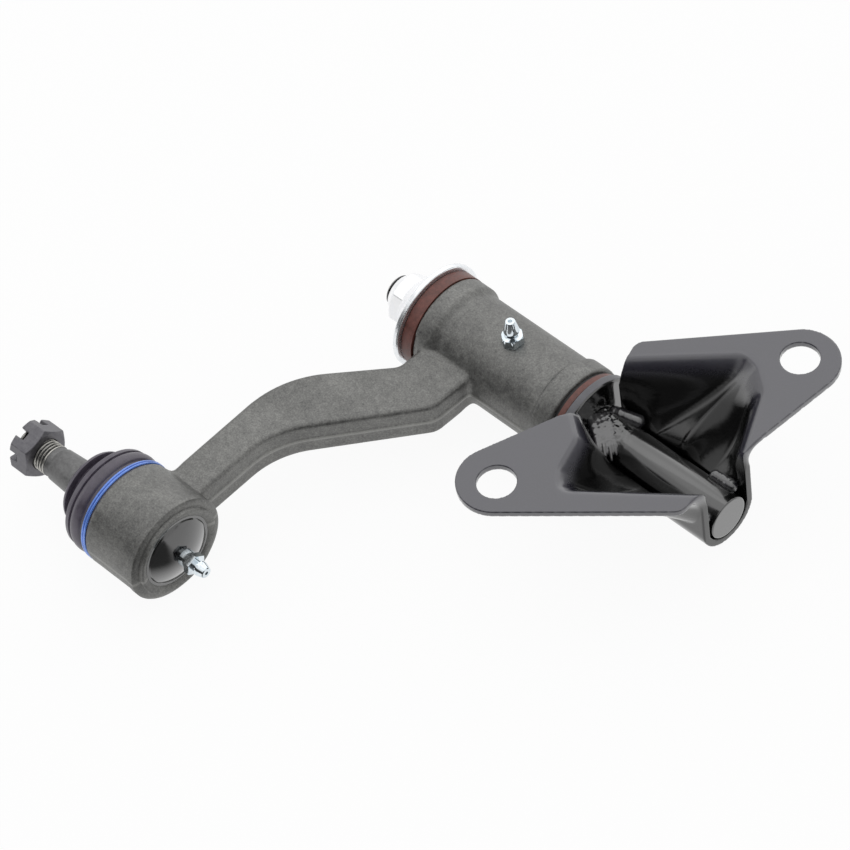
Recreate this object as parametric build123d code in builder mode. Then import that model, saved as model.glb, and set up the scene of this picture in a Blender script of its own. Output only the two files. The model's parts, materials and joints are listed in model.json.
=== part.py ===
from build123d import *
import math
import os

# Steering idler arm with a welded bracket and a ball joint. Millimetres and degrees.
# The origin is the middle of the two bolt holes on the mounting face, +Z points out of that face,
# +X runs along the pivot shaft to its welded end, and the arm reaches out to -Y.

# Bracket: one pressed sheet with two ears and a deep trough that holds the shaft
sheet = 3.2
axis_drop = 31.0
bolt_x = 25.4
bolt_y = 60.5
bolt_hole_d = 16.0
ear_shift_x = 1.1
ear_shift_y = 0.7
ear_r = 16.0
shaft_side_x = 39.6
barrel_side_x = -27.6
corner_r = 6.4
trough_bore_r = 11.0
pocket_depth = 17.5
pocket_lip = 2.6
seat_gap = 0.03

# Pivot shaft and what is stacked on it, from the welded end to the nut
shaft_d = 19.2
shaft_chamfer = 1.0
stud_end_d = 14.0
thread_out = 2.4
ring_stand = 3.3
ring_width = 4.2
ring_d = 44.6
end_play = 0.1
inner_flange_w = 3.0
inner_flange_d = 41.6
outer_flange_w = 6.0
outer_flange_d = 44.6
bush_wall = 3.4
bush_clearance = 0.05
bush_chamfer = 0.6
seal_w = 1.5
seal_d = 40.4
washer_w = 2.6
washer_d = 48.8
washer_round = 0.7
lock_nut_length = 19.4
lock_nut_af = 21.0
lock_nut_flange_d = 37.0
lock_nut_nose_d = 15.6
thread_gap = 0.04

# Weld beads
weld_overhang = 1.0
barrel_bead_run = 11.2
barrel_bead_w = 5.4
end_bead_inset = 3.0
end_bead_run = 7.2
end_bead_w = 4.6

# Arm forging
barrel_length = 75.1
barrel_neck_d = 40.8
boss_d = 44.4
boss_length = 8.0
collar_d = 43.8
collar_length = 10.2
barrel_taper = 3.0
grease_recess = 0.8
recess_w = 12.1
recess_inset = 1.5
arm_offset = 152.4
arm_thickness = 17.6
arm_edge_r = 2.4
root_inset = 4.6
root_w = 27.6
root_depth = 10.0
toe_shift = 1.3
heel_reach = 32.6
toe_reach = 39.6
back_knee_reach = 67.8
front_knee_reach = 90.0
arm_tip_inset = 8.0
outer_side_inset = 3.2
inner_side_inset = 9.2
outer_side_drift = 0.6
housing_d = 47.0
housing_length = 30.1
housing_cap_x = -117.0
housing_round = 2.8
housing_bore_d = 34.4
spigot_length = 5.0
spigot_step = 2.3
mouth_d = 25.4
mouth_flare = 3.4
mouth_depth = 6.0
lip_opening_d = 32.4
lip_w = 1.3

# Ball joint
ball_d = 27.0
ball_inset = 15.9
ball_gap = 0.05
neck_d = 13.6
taper_small_d = 14.7
taper_ratio = 8.0
stud_reach = 54.6
taper_length = 21.0
shank_d = 13.3
shank_length = 2.6
tip_out = 0.3
stud_lean_y = -0.53
stud_lean_z = 1.38
cotter_hole_d = 3.2
castle_nut_af = 21.0
castle_nut_height = 10.8
castle_nut_gap = 8.6
castle_slot_w = 3.8
castle_slot_depth = 4.6
castle_turn = 15.5
seat_split = 1.2
spring_t = 1.0
spring_rise = 0.9
spring_bore_d = 21.0
spring_land = 1.6
cup_opening_d = 19.0
cover_t = 1.6
cover_rim_w = 1.6
cover_dome_d = 30.6
cover_rise = 4.5
cover_step = 0.5

# Grease fittings
fitting_af = 8.5
fitting_thread_d = 7.6
fitting_thread_length = 5.0
fitting_stand = 3.8
fitting_hex_h = 2.8
fitting_length = 12.6
fitting_neck_d = 5.0
fitting_neck_w = 1.6
fitting_head_d = 6.6
fitting_tip_d = 4.2
fitting_bore_d = 2.8
fitting_mouth_d = 1.6
fitting_turn = 20.0
check_ball_d = 2.4
barrel_fitting_shift = 1.85

# Dust boot and its rings
boot_wall = 1.5
boot_groove_wall = 1.29
boot_bead_rise = 1.27
boot_bulge_rise = 2.17
boot_bulge_reach = 2.5
boot_crease_rise = 1.27
boot_crease_reach = 5.6
boot_shoulder_rise = 1.27
boot_shoulder_reach = 8.4
boot_throat_reach = 10.5
boot_throat_d = 28.0
boot_lip_reach = 17.1
boot_lip_d = 33.6
boot_lip_w = 2.2
boot_grip_gap = 1.1
ring_wire_d = 1.5
ring_turn_overlap = 0.06
neck_wire_d = 1.2

# Places worked out from the sizes above
ear_x = bolt_x + ear_shift_x
ear_y = bolt_y - ear_shift_y
axis_z = -axis_drop
pivot = (0, 0, axis_z)
shaft_r = shaft_d / 2
trough_z = axis_z + trough_bore_r - shaft_r - seat_gap
bush_inner_r = shaft_r + bush_clearance
bush_outer_r = bush_inner_r + bush_wall
ring_face_x = barrel_side_x - ring_stand
ring_inner_x = ring_face_x - ring_width
inner_flange_x = ring_inner_x - end_play
seal_x = inner_flange_x - inner_flange_w
barrel_x1 = seal_x - seal_w
barrel_x0 = barrel_x1 - barrel_length
bush_length = (barrel_length - recess_w) / 2 - recess_inset
barrel_fitting_x = (barrel_x0 + barrel_x1) / 2 + barrel_fitting_shift
outer_flange_x = barrel_x0
washer_x = outer_flange_x - outer_flange_w - end_play
lock_nut_x = washer_x - washer_w
nut_end_x = lock_nut_x - lock_nut_length
stud_end_x = nut_end_x - thread_out
housing_boot_x = housing_cap_x - housing_length
spigot_x = housing_boot_x - spigot_length
joint_axis = (0, -arm_offset, axis_z)
ball_x = housing_cap_x - ball_inset
ball_r = ball_d / 2
bore_r = housing_bore_d / 2
cover_outer_x = housing_cap_x - lip_w
cover_inner_x = cover_outer_x - cover_rim_w
mouth_x = spigot_x + mouth_depth
seat_end_x = mouth_x + 2.6
taper_small_x = ball_x - stud_reach
taper_large_x = taper_small_x + taper_length
taper_large_d = taper_small_d + taper_length / taper_ratio
castle_nut_face_x = taper_small_x - castle_nut_gap
castle_top_x = castle_nut_face_x - castle_nut_height
stud_tip_x = castle_top_x - tip_out
spigot_d = housing_d - 2 * spigot_step
spigot_r = spigot_d / 2 + seat_gap
groove_r = spigot_r + boot_groove_wall + seat_gap
ring_turn_d = 2 * groove_r + ring_wire_d
ring_pitch = ring_wire_d - ring_turn_overlap

PIVOT_LINE = Axis(pivot, (1, 0, 0))
JOINT_LINE = Axis(joint_axis, (1, 0, 0))


def profile_plane(centre):
    """Plane for a turned profile: local x runs along world X, local y is the radius."""
    return Plane(origin=centre, x_dir=(1, 0, 0), z_dir=(0, -1, 0))


def turned(points, centre=pivot):
    """A solid turned about the line along X through centre, from (x, radius) points."""
    with BuildPart() as piece:
        with BuildSketch(profile_plane(centre)):
            with BuildLine():
                Polyline(*points, close=True)
            make_face()
        revolve(axis=Axis(centre, (1, 0, 0)))
    return piece.part


def cone_hex(across_flats, x0, x1, nose_r, centre, turn=0.0):
    """A hexagonal bar along X from x0 to x1, with its corners turned off at both ends."""
    corner_r = across_flats / math.sqrt(3)
    drop = (corner_r - nose_r) * math.tan(math.radians(30))
    with BuildPart() as bar:
        with BuildSketch(Plane.YZ.offset(x0)):
            with Locations((centre[1], centre[2])):
                RegularPolygon(corner_r, 6, rotation=turn)
        extrude(amount=x1 - x0)
        envelope = [(x0, 0), (x0, nose_r), (x0 + drop, corner_r), (x1 - drop, corner_r)]
        add(turned(envelope + [(x1, nose_r), (x1, 0)], centre), mode=Mode.INTERSECT)
    return bar.part


# Bracket sheet
# Corners of each pocket in plan, at the rim, at the pocket's depth and at the shaft.
# They run from the trough's narrow end along the straight wall and back over the ramp.
RIGHT_RIM = [(-34, 8.6), (7.5, 45.6), (14.0, 44.2), (23.8, 37.0), (36.6, 12.0), (37.2, 0), (-34, 0)]
RIGHT_MID = [(-32, 8.4), (0.4, 26.6), (8.2, 20.0), (21.5, 28.0), (34.6, 12.4), (36, 0), (-32, 0)]
RIGHT_LOW = [(-27, 8.0), (-10, 10.0), (4, 10.6), (19, 10.0), (31, 8.0), (31, -2), (-27, -2)]
LEFT_RIM = [(44, -8.8), (-3.6, -45.4), (-9.6, -38.6), (-14.6, -23.0), (-30, -11.8), (-30, 0), (44, 0)]
LEFT_MID = [(40, -8.6), (1.0, -32.6), (-5.4, -24.0), (-12.6, -15.0), (-30, -10.6), (-30, 0), (40, 0)]
LEFT_LOW = [(33, -8.0), (4, -10.0), (-4, -10.6), (-14, -10.0), (-29, -8.0), (-29, 2), (33, 2)]
POCKET_RADII = [1.0, 4.5, 5.0, 4.0, 3.0, 1.0, 1.0]


def grown(points, amount):
    """The corners of a closed outline moved outward by amount, measured square to its sides."""
    count = len(points)
    pairs = [(points[i], points[(i + 1) % count]) for i in range(count)]
    turn = math.copysign(1, sum(a[0] * b[1] - b[0] * a[1] for a, b in pairs))
    moved = []
    for i in range(count):
        before = Vector(*points[i]) - Vector(*points[i - 1])
        after = Vector(*points[(i + 1) % count]) - Vector(*points[i])
        normals = [Vector(side.Y, -side.X).normalized() * turn for side in (before, after)]
        middle = (normals[0] + normals[1]).normalized()
        corner = Vector(*points[i]) + middle * (amount / max(0.5, middle.dot(normals[0])))
        moved.append((corner.X, corner.Y))
    return moved


def pocket(rim, mid, low, levels):
    """A pressed pocket: one skin lofted down through the rim, mid and low outlines."""
    outlines = {"rim": rim, "mid": mid, "low": low}
    with BuildPart() as form:
        for outline, height, spread in levels:
            with BuildSketch(Plane.XY.offset(height)):
                with BuildLine():
                    FilletPolyline(*grown(outlines[outline], spread), radius=POCKET_RADII, close=True)
                make_face()
        loft()
    return form.part


def trough_section(radius, top):
    """The channel's section across the shaft: a round bottom and upright walls."""
    with BuildSketch() as section:
        with Locations((0, trough_z)):
            Circle(radius)
        with Locations((0, (trough_z + top) / 2)):
            Rectangle(2 * radius, top - trough_z)
    return section.sketch


INNER_LEVELS = [
    ("rim", 0.0, pocket_lip),
    ("rim", -pocket_lip, 0.0),
    ("mid", -pocket_depth, 0.0),
    ("low", trough_z, 0.0),
]
OUTER_LEVELS = [
    ("rim", -0.5 * sheet, sheet + 0.85 * pocket_lip),
    ("rim", -sheet - 0.9 * pocket_lip, sheet),
    ("mid", -pocket_depth - 0.45 * sheet, sheet),
    ("low", trough_z - 0.3 * sheet, sheet),
]

with BuildSketch() as blank:
    with BuildSketch(mode=Mode.PRIVATE) as left_ear:
        with Locations((-ear_x, -ear_y)):
            Circle(ear_r)
        with Locations((shaft_side_x - corner_r, -22.4)):
            Circle(corner_r)
        with Locations((shaft_side_x - 0.5, 0), (barrel_side_x + 1.8, -14.6)):
            Circle(0.5)
        make_hull()
    with BuildSketch(mode=Mode.PRIVATE) as right_ear:
        with Locations((ear_x, ear_y)):
            Circle(ear_r)
        with Locations((barrel_side_x + 4.3, 23.4)):
            Circle(corner_r)
        with Locations((shaft_side_x - 1.0, 18), (barrel_side_x + 0.5, 12.6)):
            Circle(0.5)
        make_hull()
    with BuildLine():
        Polyline(
            (shaft_side_x, 22),
            (shaft_side_x, -20),
            (barrel_side_x + 1.2, -14.6),
            (barrel_side_x, -12.4),
            (barrel_side_x, 14),
            close=True,
        )
    make_face()
    add(left_ear.sketch)
    add(right_ear.sketch)

right_pocket = pocket(RIGHT_RIM, RIGHT_MID, RIGHT_LOW, INNER_LEVELS)
left_pocket = pocket(LEFT_RIM, LEFT_MID, LEFT_LOW, INNER_LEVELS)
right_form = pocket(RIGHT_RIM, RIGHT_MID, RIGHT_LOW, OUTER_LEVELS)
left_form = pocket(LEFT_RIM, LEFT_MID, LEFT_LOW, OUTER_LEVELS)
trough_start = barrel_side_x - 8
trough_run = shaft_side_x - barrel_side_x + 16

with BuildPart() as blank_prism:
    with BuildSketch(Plane.XY.offset(-2 * axis_drop)):
        add(blank.sketch)
    extrude(amount=2 * axis_drop)


def trimmed(form):
    """The part of a form that stays inside the blank's outline."""
    with BuildPart() as kept:
        add(form)
        add(blank_prism.part, mode=Mode.INTERSECT)
    return kept.part


with BuildPart() as trough_form:
    with BuildSketch(Plane.YZ.offset(trough_start)):
        add(trough_section(trough_bore_r + sheet, -0.5 * sheet))
    extrude(amount=trough_run)

with BuildPart() as bracket_plate:
    add(trimmed(trough_form.part))
    add(trimmed(right_form))
    add(trimmed(left_form))
    with BuildSketch(Plane.XY.offset(-sheet)):
        add(blank.sketch)
    extrude(amount=sheet)
    add(right_pocket, mode=Mode.SUBTRACT)
    add(left_pocket, mode=Mode.SUBTRACT)
    with BuildSketch(Plane.YZ.offset(trough_start)):
        add(trough_section(trough_bore_r, 0.0))
    extrude(amount=trough_run, mode=Mode.SUBTRACT)
    with Locations((bolt_x, bolt_y, 0), (-bolt_x, -bolt_y, 0)):
        Hole(bolt_hole_d / 2, depth=2 * sheet)

# Pivot shaft: one diameter through the bracket and the bushes, then the nut's thread
with BuildPart() as pivot_shaft:
    add(
        turned(
            [
                (shaft_side_x, 0),
                (shaft_side_x, shaft_r - shaft_chamfer / 2),
                (shaft_side_x - shaft_chamfer / 2, shaft_r),
                (washer_x, shaft_r),
                (washer_x, stud_end_d / 2),
                (stud_end_x + shaft_chamfer, stud_end_d / 2),
                (stud_end_x, stud_end_d / 2 - shaft_chamfer),
                (stud_end_x, 0),
            ]
        )
    )

# Thrust ring on the shaft, against which the bracket end bush runs
with BuildPart() as thrust_ring:
    add(
        turned(
            [
                (ring_face_x, shaft_r + seat_gap),
                (ring_face_x, ring_d / 2 - 0.8),
                (ring_face_x - 0.8, ring_d / 2),
                (ring_inner_x + 0.4, ring_d / 2),
                (ring_inner_x, ring_d / 2 - 0.4),
                (ring_inner_x, shaft_r + seat_gap),
            ]
        )
    )


def flanged_bush(face_x, direction, flange_w, flange_d, seal=0.0):
    """A bush whose flange face is at face_x and whose sleeve runs on in the given direction."""
    sleeve_start = face_x + direction * (flange_w + seal)
    root = face_x + direction * flange_w
    sleeve_end = sleeve_start + direction * bush_length
    chamfer_end = sleeve_end - direction * bush_chamfer
    return turned(
        [
            (face_x, bush_inner_r + bush_chamfer),
            (face_x, flange_d / 2 - bush_chamfer),
            (face_x + direction * bush_chamfer, flange_d / 2),
            (root, flange_d / 2),
            (root, bush_outer_r),
            (chamfer_end, bush_outer_r),
            (sleeve_end, bush_outer_r - bush_chamfer),
            (sleeve_end, bush_inner_r),
            (face_x + direction * bush_chamfer, bush_inner_r),
        ]
    )


with BuildPart() as inner_bush:
    add(flanged_bush(inner_flange_x, -1, inner_flange_w, inner_flange_d, seal_w))

with BuildPart() as outer_bush:
    add(flanged_bush(outer_flange_x - outer_flange_w, 1, outer_flange_w, outer_flange_d))

# Rubber dust seal between the barrel's end and the inner bush's flange
with BuildPart() as barrel_seal:
    seal_inner_r = bush_outer_r + seat_gap
    add(
        turned(
            [
                (seal_x, seal_inner_r),
                (seal_x, seal_d / 2),
                (barrel_x1, seal_d / 2),
                (barrel_x1, seal_inner_r),
            ]
        )
    )

# End washer with its stamped edge rounded over
with BuildPart() as end_washer:
    add(
        turned(
            [
                (washer_x, stud_end_d / 2 + thread_gap),
                (washer_x, washer_d / 2),
                (lock_nut_x, washer_d / 2),
                (lock_nut_x, stud_end_d / 2 + thread_gap),
            ]
        )
    )
    rims = end_washer.edges().filter_by(GeomType.CIRCLE).sort_by(SortBy.RADIUS)[-2:]
    fillet(rims, washer_round)

# Lock nut: a coned skirt, a hexagon and a crimped nose
with BuildPart() as lock_nut:
    hex_start_x = lock_nut_x - 0.52 * lock_nut_length
    hex_end_x = nut_end_x + 0.16 * lock_nut_length
    skirt_r = lock_nut_flange_d / 2
    add(cone_hex(lock_nut_af, hex_end_x, lock_nut_x - 2, lock_nut_af / 2 - 0.6, pivot, 10))
    add(
        turned(
            [
                (lock_nut_x, 0),
                (lock_nut_x, skirt_r),
                (lock_nut_x - 1.2, skirt_r),
                (hex_start_x, lock_nut_af / 2 + 0.6),
                (hex_start_x, 0),
            ]
        )
    )
    add(
        turned(
            [
                (hex_end_x + 1, 0),
                (hex_end_x + 1, lock_nut_nose_d / 2 + 1.8),
                (hex_end_x, lock_nut_nose_d / 2 + 1.8),
                (nut_end_x, lock_nut_nose_d / 2),
                (nut_end_x, 0),
            ]
        )
    )
    with BuildSketch(Plane.YZ.offset(nut_end_x - 1)):
        with Locations((0, axis_z)):
            Circle(stud_end_d / 2 + thread_gap)
    extrude(amount=lock_nut_length + 2, mode=Mode.SUBTRACT)

# Weld beads between the shaft and the trough's walls, two at each end
weld_start_x = ring_face_x + seat_gap
with BuildPart() as weld_room:
    with BuildSketch(Plane.YZ.offset(weld_start_x)):
        add(trough_section(trough_bore_r - seat_gap, 0.0))
        with Locations((0, axis_z)):
            Circle(shaft_r + seat_gap, mode=Mode.SUBTRACT)
    extrude(amount=shaft_side_x - weld_start_x)


def weld_run(points, radius):
    """A round-ended bead laid through the points, kept to the room round the shaft."""
    with BuildPart() as run:
        with Locations(*points):
            Sphere(radius)
        for start, end in zip(points, points[1:]):
            along = Vector(*end) - Vector(*start)
            with BuildSketch(Plane(origin=start, z_dir=along)):
                Circle(radius)
            extrude(amount=along.length)
        add(weld_room.part, mode=Mode.INTERSECT)
    return run.part


def over_shaft(x, angle, lift):
    """A point at an angle from the shaft's top towards +Y, and as far out as a share of a bead."""
    reach = shaft_r + lift * end_bead_w
    turn = math.radians(angle)
    return (x, reach * math.sin(turn), axis_z + reach * math.cos(turn))


with BuildPart() as weld_beads:
    barrel_start_x = barrel_side_x - weld_overhang
    barrel_stop_x = barrel_start_x + barrel_bead_run
    barrel_bend_x = barrel_start_x + 0.45 * barrel_bead_run
    end_stop_x = shaft_side_x - end_bead_inset
    end_start_x = end_stop_x - end_bead_run
    across = [
        over_shaft(barrel_start_x, -9, 0.13),
        over_shaft(barrel_bend_x, -39, 0.15),
        over_shaft(barrel_stop_x, -64, 0.22),
    ]
    beside = [over_shaft(barrel_start_x, 53, 0.25), over_shaft(barrel_stop_x, 57, 0.35)]
    add(weld_run(across, barrel_bead_w / 2))
    add(weld_run(beside, barrel_bead_w / 2))
    for side in (-1, 1):
        end_run = [over_shaft(x, side * 58, 0.4) for x in (end_start_x, end_stop_x)]
        add(weld_run(end_run, end_bead_w / 2))

# Arm forging: the barrel, the cranked arm and the ball housing are one piece
boss_end_x = barrel_x0 + boss_length
collar_start_x = barrel_x1 - collar_length
neck_r = barrel_neck_d / 2
barrel_edge = 0.8
housing_r = housing_d / 2
half_thick = arm_thickness / 2
arm_outer_x = housing_boot_x + outer_side_inset
arm_inner_x = housing_cap_x - inner_side_inset

with BuildSketch() as arm_plan:
    with BuildLine():
        back_x = barrel_x0 + root_inset
        front_x = back_x + root_w
        tip_y = arm_tip_inset - arm_offset
        back_root = (back_x, -root_depth)
        back_heel = (back_x, -heel_reach)
        back_knee = (arm_outer_x - outer_side_drift, -back_knee_reach)
        front_knee = (arm_inner_x, -front_knee_reach)
        front_toe = (front_x - toe_shift, -toe_reach)
        front_root = (front_x, -root_depth)
        FilletPolyline(
            back_root,
            back_heel,
            back_knee,
            (arm_outer_x, tip_y),
            (arm_inner_x, tip_y),
            front_knee,
            front_toe,
            front_root,
            radius=[3.0, 6.0, 46.0, 3.0, 3.0, 38.0, 9.0, 3.0],
            close=True,
        )
    make_face()

with BuildPart() as arm_blade:
    with BuildSketch(Plane.XY.offset(axis_z)):
        add(arm_plan.sketch)
    extrude(amount=half_thick, both=True)
    flat_faces = arm_blade.faces().filter_by(Axis.Z).sort_by(Axis.Z)
    blade_edges = flat_faces[0].edges() + flat_faces[-1].edges()
    fillet(blade_edges, arm_edge_r)

with BuildPart() as idler_arm:
    add(arm_blade.part)
    add(
        turned(
            [
                (barrel_x0, 0),
                (barrel_x0, boss_d / 2 - barrel_edge),
                (barrel_x0 + barrel_edge, boss_d / 2),
                (boss_end_x, boss_d / 2),
                (boss_end_x + barrel_taper, neck_r),
                (collar_start_x, neck_r),
                (collar_start_x + 1.2, collar_d / 2),
                (barrel_x1 - barrel_edge, collar_d / 2),
                (barrel_x1, collar_d / 2 - barrel_edge),
                (barrel_x1, 0),
            ]
        )
    )
    with BuildSketch(profile_plane(joint_axis)):
        with BuildLine():
            Polyline((housing_cap_x, 0), (spigot_x, 0), (spigot_x, spigot_d / 2))
            Polyline((spigot_x, spigot_d / 2), (housing_boot_x, spigot_d / 2), (housing_boot_x, housing_r))
            shoulder = (housing_cap_x - housing_round, housing_r - 0.3)
            lip_edge = (housing_cap_x, housing_r - 0.3 - housing_round)
            Line((housing_boot_x, housing_r), shoulder)
            RadiusArc(shoulder, lip_edge, housing_round)
            Line(lip_edge, (housing_cap_x, 0))
        make_face()
    revolve(axis=JOINT_LINE)
    bore_line = bush_outer_r + seat_gap
    # Bore for the two bushes, with a grease recess between them
    with BuildSketch(profile_plane(pivot)):
        with BuildLine():
            recess_x0 = barrel_x0 + bush_length + recess_inset
            recess_x1 = barrel_x1 - bush_length - recess_inset
            Polyline(
                (barrel_x0 - 1, 0),
                (barrel_x0 - 1, bore_line),
                (recess_x0, bore_line),
                (recess_x0, bore_line + grease_recess),
                (recess_x1, bore_line + grease_recess),
                (recess_x1, bore_line),
                (barrel_x1 + 1, bore_line),
                (barrel_x1 + 1, 0),
                close=True,
            )
        make_face()
    revolve(axis=PIVOT_LINE, mode=Mode.SUBTRACT)
    # Ball chamber: open to the cap, with a flared mouth for the stud
    with BuildSketch(profile_plane(joint_axis)):
        with BuildLine():
            Polyline(
                (housing_cap_x + 1, 0),
                (housing_cap_x + 1, lip_opening_d / 2 + 1),
                (housing_cap_x, lip_opening_d / 2 + 0.6),
                (cover_outer_x, lip_opening_d / 2),
                (cover_outer_x, bore_r),
                (seat_end_x, bore_r),
                (seat_end_x, mouth_d / 2),
                (mouth_x, mouth_d / 2),
                (spigot_x - 1, mouth_d / 2 + mouth_flare),
                (spigot_x - 1, 0),
                close=True,
            )
        make_face()
    revolve(axis=JOINT_LINE, mode=Mode.SUBTRACT)
    # Drilling for the barrel's grease fitting
    with BuildSketch(Plane.XY.offset(axis_z)):
        with Locations((barrel_fitting_x, 0)):
            Circle(fitting_thread_d / 2 + seat_gap)
    extrude(amount=neck_r + 2, mode=Mode.SUBTRACT)


def grease_fitting(base):
    """A straight fitting on a base plane, whose z axis points out of the surface."""
    thread_r = fitting_thread_d / 2
    head_r = fitting_head_d / 2
    waist_r = fitting_neck_d / 2
    hex_top = fitting_stand + fitting_hex_h
    head_start = hex_top + fitting_neck_w
    top = fitting_length
    with BuildPart() as fitting:
        with BuildSketch(base.offset(fitting_stand)):
            RegularPolygon(fitting_af / math.sqrt(3), 6, rotation=fitting_turn)
        extrude(amount=fitting_hex_h)
        side = Plane(origin=base.origin, x_dir=base.x_dir, z_dir=base.y_dir)
        with BuildSketch(side):
            with BuildLine():
                Polyline(
                    (0, 0),
                    (0, fitting_thread_length),
                    (thread_r - 0.8, fitting_thread_length),
                    (thread_r, fitting_thread_length - 0.8),
                    (thread_r, -fitting_stand - 0.4),
                    (thread_r, -hex_top + 0.3),
                    (waist_r, -hex_top),
                    (waist_r, -head_start),
                    (head_r, -head_start - 0.5),
                    (head_r, -head_start - 1.3),
                    (fitting_tip_d / 2 + 0.3, -top + 0.3),
                    (fitting_tip_d / 2, -top),
                    (0, -top),
                    close=True,
                )
            make_face()
        revolve(axis=Axis(base.origin, base.z_dir))
        with BuildSketch(base.offset(-fitting_thread_length)):
            Circle(fitting_bore_d / 2)
        extrude(amount=fitting_thread_length + top - 1.2, mode=Mode.SUBTRACT)
        with BuildSketch(base):
            Circle(fitting_mouth_d / 2)
        extrude(amount=top + 1, mode=Mode.SUBTRACT)
    return fitting.part


barrel_fitting_plane = Plane(
    origin=(barrel_fitting_x, 0, axis_z + neck_r + 0.05), x_dir=(1, 0, 0), z_dir=(0, 0, 1)
)
cover_peak_x = cover_outer_x + cover_rise
cap_fitting_plane = Plane(
    origin=(cover_peak_x + 0.02, -arm_offset, axis_z), x_dir=(0, 1, 0), z_dir=(1, 0, 0)
)

with BuildPart() as barrel_grease_fitting:
    add(grease_fitting(barrel_fitting_plane))

with BuildPart() as cap_grease_fitting:
    add(grease_fitting(cap_fitting_plane))


def check_ball(base):
    """The ball that closes a fitting's mouth from inside."""
    depth = fitting_length - 1.2 - check_ball_d / 2 - seat_gap
    with BuildPart() as ball:
        with Locations(base.origin + base.z_dir * depth):
            Sphere(check_ball_d / 2)
    return ball.part


with BuildPart() as barrel_fitting_ball:
    add(check_ball(barrel_fitting_plane))

with BuildPart() as cap_fitting_ball:
    add(check_ball(cap_fitting_plane))

# Cover plate: a pressed disc with a domed middle, held by the housing's rolled lip
cover_hole_r = fitting_thread_d / 2 + seat_gap
with BuildPart() as cover_plate:
    rim_r = bore_r - seat_gap
    dome_r = cover_dome_d / 2
    dome_foot = (cover_outer_x + cover_step, dome_r - cover_step)
    inside_foot = (cover_inner_x, dome_r - cover_step - cover_t)
    with BuildSketch(profile_plane(joint_axis)):
        with BuildLine():
            Polyline(
                inside_foot,
                (cover_inner_x, rim_r),
                (cover_outer_x, rim_r),
                (cover_outer_x, dome_r),
                dome_foot,
            )
            ThreePointArc(
                dome_foot,
                (cover_outer_x + 0.8 * cover_rise, dome_r / 2),
                (cover_peak_x, cover_hole_r),
            )
            Line((cover_peak_x, cover_hole_r), (cover_peak_x - cover_t, cover_hole_r))
            ThreePointArc(
                (cover_peak_x - cover_t, cover_hole_r),
                (cover_outer_x + 0.8 * cover_rise - cover_t, dome_r / 2 - 0.4 * cover_t),
                inside_foot,
            )
        make_face()
    revolve(axis=JOINT_LINE)

# The stud stands a little off the housing's axis, turned about the middle of its ball
ball_centre = (ball_x, -arm_offset, axis_z)
stud_place = Pos(*ball_centre) * Rot(0, stud_lean_y, stud_lean_z) * Pos(-ball_x, arm_offset, -axis_z)

# Ball stud: the ball, its neck, the taper, the shank and the thread
stud_r = stud_end_d / 2
thread_start_x = taper_small_x - shank_length
with BuildPart() as straight_stud:
    neck_x = ball_x - math.sqrt(ball_r**2 - (neck_d / 2) ** 2)
    with BuildSketch(profile_plane(joint_axis)):
        with BuildLine():
            ThreePointArc((ball_x + ball_r, 0), (ball_x, ball_r), (neck_x, neck_d / 2))
            Polyline(
                (neck_x, neck_d / 2),
                (spigot_x, neck_d / 2),
                (taper_large_x, taper_large_d / 2),
                (taper_small_x, taper_small_d / 2),
                (taper_small_x, shank_d / 2),
                (thread_start_x, shank_d / 2),
                (thread_start_x - 0.4, stud_r),
                (stud_tip_x + 1.2, stud_r),
                (stud_tip_x, stud_r - 1.2),
                (stud_tip_x, 0),
                (ball_x + ball_r, 0),
            )
        make_face()
    revolve(axis=JOINT_LINE)
    # Flat on the ball under the grease fitting
    with BuildSketch(Plane.YZ.offset(ball_x + ball_r - 1.4)):
        with Locations((-arm_offset, axis_z)):
            Circle(ball_r)
    extrude(amount=3, mode=Mode.SUBTRACT)
    cotter_x = castle_top_x + castle_slot_depth / 2 + 0.4
    with BuildSketch(Plane(origin=(cotter_x, -arm_offset, axis_z), x_dir=(1, 0, 0), z_dir=(0, 0, 1))):
        Circle(cotter_hole_d / 2)
    extrude(amount=stud_r + 1, both=True, mode=Mode.SUBTRACT)

with BuildPart() as ball_stud:
    add(straight_stud.part.moved(stud_place))

# Castle nut, turned on to the stud's thread with its slots outward
with BuildPart() as straight_nut:
    add(
        cone_hex(
            castle_nut_af,
            castle_top_x,
            castle_nut_face_x,
            castle_nut_af / 2 - 0.3,
            joint_axis,
            castle_turn,
        )
    )
    with BuildSketch(Plane.YZ.offset(castle_top_x)):
        with Locations((-arm_offset, axis_z)):
            with Locations([Location((0, 0), castle_turn + 30 + 60 * i) for i in range(3)]):
                Rectangle(2 * castle_nut_af, castle_slot_w)
    extrude(amount=castle_slot_depth, mode=Mode.SUBTRACT)
    with BuildSketch(Plane.YZ.offset(castle_top_x - 1)):
        with Locations((-arm_offset, axis_z)):
            Circle(stud_r + thread_gap)
    extrude(amount=castle_nut_height + 2, mode=Mode.SUBTRACT)

with BuildPart() as castle_nut:
    add(straight_nut.part.moved(stud_place))

# Ball seats: two cups that meet near the ball's middle
seat_r = bore_r - ball_gap
cup_r = ball_r + ball_gap
spring_outer_x = cover_inner_x - 0.02
cap_seat_end_x = spring_outer_x - spring_t - spring_rise


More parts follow.
